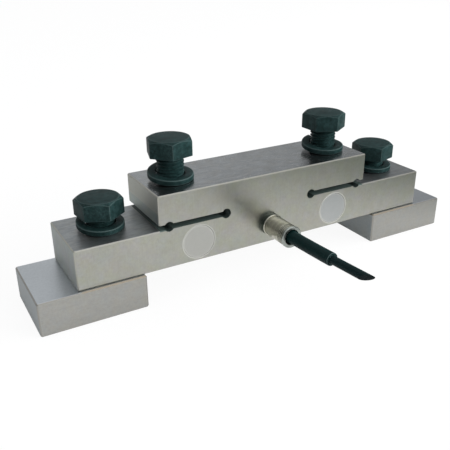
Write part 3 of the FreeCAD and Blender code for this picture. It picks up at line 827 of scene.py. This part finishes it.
def sleeve_tube():
    """Sleeve wall round the cable, square at both ends."""
    bm = route_tube(SLEEVE_DIAMETER)
    (x0, y0), (x1, y1) = CABLE_ROUTE[1:3]
    share = (SLEEVE_END_Y - y0) / (y1 - y0)
    end = Vector((x0 + share * (x1 - x0), SLEEVE_END_Y, GLAND_Z))
    cut_off(bm, Vector((0, SLEEVE_START_Y, GLAND_Z)), Vector((0, 1, 0)))
    cut_off(bm, end, route_direction(1))
    bmesh.ops.recalc_face_normals(bm, faces=bm.faces)
    bmesh.ops.solidify(bm, geom=bm.faces[:], thickness=SLEEVE_WALL)
    bmesh.ops.recalc_face_normals(bm, faces=bm.faces)
    soften(bm, SLEEVE_EDGE, least_deg=50)
    return bm


def finished(bm, name, materials, node):
    """Make a shape drawn in millimetres a piece that stands for its CAD node."""
    bmesh.ops.scale(bm, vec=(MM, MM, MM), verts=bm.verts)
    mesh = bpy.data.meshes.new(name)
    bm.to_mesh(mesh)
    bm.free()
    mesh.shade_smooth()
    mesh.set_sharp_from_angle(angle=math.radians(SHARP_DEG))
    for material in materials:
        mesh.materials.append(material)
    piece = bpy.data.objects.new(name, mesh)
    bpy.context.scene.collection.objects.link(piece)
    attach(piece, "root")
    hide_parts(node)
    return piece


def dress(material, *nodes):
    """Give CAD nodes a finish."""
    for node in nodes:
        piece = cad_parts[node]
        piece.data.materials.clear()
        piece.data.materials.append(material)


def dress_nodes():
    """Finishes of the pieces that keep their CAD mesh."""
    dress(beam_steel(), "beam_body")
    dress(block_steel(), "left_spacer_block", "right_spacer_block")
    warm = cover_steel("left_cover_steel", -COVER_X, (0.39, 0.39, 0.365), (0.432, 0.432, 0.406))
    pale = cover_steel("right_cover_steel", COVER_X, (0.38, 0.394, 0.39), (0.43, 0.44, 0.435))
    dress(warm, "left_front_cover", "left_rear_cover")
    dress(pale, "right_front_cover", "right_rear_cover")
    rubber = black_polymer("seal_rubber", (0.012, 0.012, 0.012), (0.02, 0.02, 0.019), 0.55, 0.3)
    dress(rubber, "gland_o_ring", "gland_seal")
    for name, (dark, light, rough, metallic, size, nodes) in PLAIN_PARTS.items():
        dress(plain_part(name, dark, light, rough, metallic, size), *nodes)


def make_bolts():
    """Bolts with their threads, one for each CAD bolt."""
    steel = black_steel("black_bolt", (0.0045, 0.0145, 0.014), (0.0155, 0.034, 0.034), 0.45)
    for place, (x, head_z, length, turn) in BOLTS.items():
        bolt = combined(hexagon_head(turn), threaded_shank(length), "UNION")
        bmesh.ops.translate(bolt, vec=(x, 0, head_z), verts=bolt.verts)
        finished(bolt, place + "_threaded_bolt", [steel], place + "_bolt")


def make_washers():
    """Spring washers lying loose on their seats."""
    steel = black_steel("black_washer", (0.0045, 0.0145, 0.014), (0.0155, 0.033, 0.033), 0.42)
    for place, (x, seat_z, hole, turn) in WASHERS.items():
        washer = coil_washer(hole, turn)
        bmesh.ops.translate(washer, vec=(x, 0, seat_z), verts=washer.verts)
        finished(washer, place + "_coil_washer", [steel], place + "_washer")


def make_gland():
    """The gland's body and its clamp ring."""
    barrel = turned_nickel("gland_nickel", (0.41, 0.405, 0.34), (0.62, 0.61, 0.53), 0.15, 0.92, 1.0)
    bright = turned_nickel("ring_nickel", (0.31, 0.335, 0.31), (0.39, 0.41, 0.385), 0.32, 0.0, 0.0)
    body = finished(gland_body(), "gland_body_turned", [barrel], "gland_body")
    ring = finished(clamp_ring(), "gland_ring_turned", [bright], "gland_clamp_ring")
    return body, ring


def make_cable():
    """The cable stub in its sleeve."""
    plastic = black_polymer("sleeve_plastic", (0.0025, 0.0125, 0.0125), (0.0045, 0.0185, 0.0185), 0.45, 0.4)
    jacket = black_polymer("cable_jacket", (0.0025, 0.011, 0.0115), (0.004, 0.016, 0.0165), 0.45, 0.4)
    core = black_polymer("cable_cut", (0.002, 0.006, 0.007), (0.004, 0.010, 0.011), 0.7, 0.3)
    sleeve = finished(sleeve_tube(), "cable_sleeve_tube", [plastic], "cable_sleeve")
    cable = finished(cable_tube(), "cable_stub", [jacket, core], "cable")
    [point * MM for point in cable_path()]


def add_camera():
    """Camera at the photograph's place, with a small roll."""
    level = math.cos(CAMERA_ELEVATION)
    back = Vector((math.sin(CAMERA_AZIMUTH) * level, -math.cos(CAMERA_AZIMUTH) * level,
                   math.sin(CAMERA_ELEVATION)))
    right = Vector((math.cos(CAMERA_AZIMUTH), math.sin(CAMERA_AZIMUTH), 0))
    up = back.cross(right)
    across = math.cos(CAMERA_ROLL) * right + math.sin(CAMERA_ROLL) * up
    upwards = math.cos(CAMERA_ROLL) * up - math.sin(CAMERA_ROLL) * right
    data = bpy.data.cameras.new("camera")
    data.sensor_width = SENSOR_WIDTH
    data.lens = CAMERA_LENS
    camera = bpy.data.objects.new("camera", data)
    turn = Matrix((across, upwards, back)).transposed().to_4x4()
    camera.matrix_world = Matrix.Translation(CAMERA_PLACE) @ turn
    bpy.context.scene.collection.objects.link(camera)
    bpy.context.scene.camera = camera


def floor_paper():
    """White floor, painted darker towards the front right as painted shade: what the camera sees is lifted
    to white, metal mirrors the darker part, and shadows stay on it.
    """
    material, paper = new_finish("floor_paper")
    seen, through, mirrored = [paper.node("ShaderNodeLightPath", output=ray)
                               for ray in ("Is Camera Ray", "Is Transmission Ray", "Is Glossy Ray")]
    _, (x, y, _) = paper.place()
    across = x * DIMMING_ACROSS[0] + y * DIMMING_ACROSS[1]
    # Painted shade: the floor darkens beyond the line, and metal mirrors it darker there.
    painted_dimming = paper.ramp(across - DIMMING_EDGE, -DIMMING_FADE, DIMMING_FADE)
    lift = (seen.most(through) * SEEN_LIFT).most(mirrored * REFLECTED_LIFT * (1 - painted_dimming))
    colour = paper.blend(painted_dimming, (0.86, 0.86, 0.86), (0.18, 0.20, 0.18))
    lit = paper.node("ShaderNodeBsdfPrincipled", None,
                     {"Base Color": colour, "Roughness": 1.0, "Specular IOR Level": 0.0})
    glow = paper.node("ShaderNodeEmission", None, {"Color": (1.0, 1.0, 1.0, 1.0), "Strength": 1.0})
    shader = paper.node("ShaderNodeMixShader", None, {"Fac": lift, 1: lit, 2: glow})
    paper.node("ShaderNodeOutputMaterial", None, {"Surface": shader})
    return material


def add_floor():
    """Round floor with a low upright rim far behind."""
    bm = bmesh.new()
    bmesh.ops.create_circle(bm, cap_ends=True, segments=FLOOR_STEPS, radius=FLOOR_RADIUS)
    edge = [edge for edge in bm.edges if edge.is_boundary]
    rim = bmesh.ops.extrude_edge_only(bm, edges=edge)["geom"]
    corners = [part for part in rim if isinstance(part, bmesh.types.BMVert)]
    bmesh.ops.translate(bm, vec=(0, 0, FLOOR_RIM), verts=corners)
    mesh = bpy.data.meshes.new("floor")
    bm.to_mesh(mesh)
    bm.free()
    mesh.materials.append(floor_paper())
    floor = bpy.data.objects.new("floor", mesh)
    bpy.context.scene.collection.objects.link(floor)


def add_lamp():
    """Wide soft lamp that lights the object but is not mirrored in it."""
    data = bpy.data.lights.new("right_lamp", "AREA")
    data.shape = "RECTANGLE"
    data.size = LAMP_WIDTH
    data.size_y = LAMP_HEIGHT
    data.energy = LAMP_POWER
    lamp = bpy.data.objects.new("right_lamp", data)
    aim = (LAMP_TARGET - LAMP_PLACE).to_track_quat("-Z", "Y")
    lamp.matrix_world = Matrix.Translation(LAMP_PLACE) @ aim.to_matrix().to_4x4()
    lamp.visible_glossy = False
    bpy.context.scene.collection.objects.link(lamp)


def add_room():
    """Studio: pale walls behind and in front, a bright ceiling, and a soft panel in front on the right."""
    world = bpy.data.worlds.new("studio")
    world.use_nodes = True
    bpy.context.scene.world = world
    room = Finish(world.node_tree)
    direction = room.node("ShaderNodeTexCoord", output="Generated")
    backward, height = [room.node("ShaderNodeSeparateXYZ", None, {0: direction}, axis) for axis in (1, 2)]
    towards = room.node("ShaderNodeVectorMath", {"operation": "DOT_PRODUCT"},
                        {0: direction, 1: PANEL_DIRECTION}, "Value")
    strength = (ROOM_LEVEL
                + room.ramp(backward, 0.62, 0.95) * BACK_WALL
                + room.ramp(height, 0.55, 0.95) * CEILING
                + room.ramp(backward, -0.2, -0.9) * FRONT_WALL
                + room.ramp(towards, 0.88, 0.97) * PANEL)
    sky = room.node("ShaderNodeBackground", None, {"Color": (0.97, 0.98, 1.0, 1.0), "Strength": strength})
    room.node("ShaderNodeOutputWorld", None, {"Surface": sky})


def main():
    add_camera()
    add_floor()
    add_room()
    add_lamp()
    dress_nodes()
    make_bolts()
    make_washers()
    body, ring = make_gland()
    make_cable()
    bpy.context.scene.view_settings.view_transform = "Standard"


main()
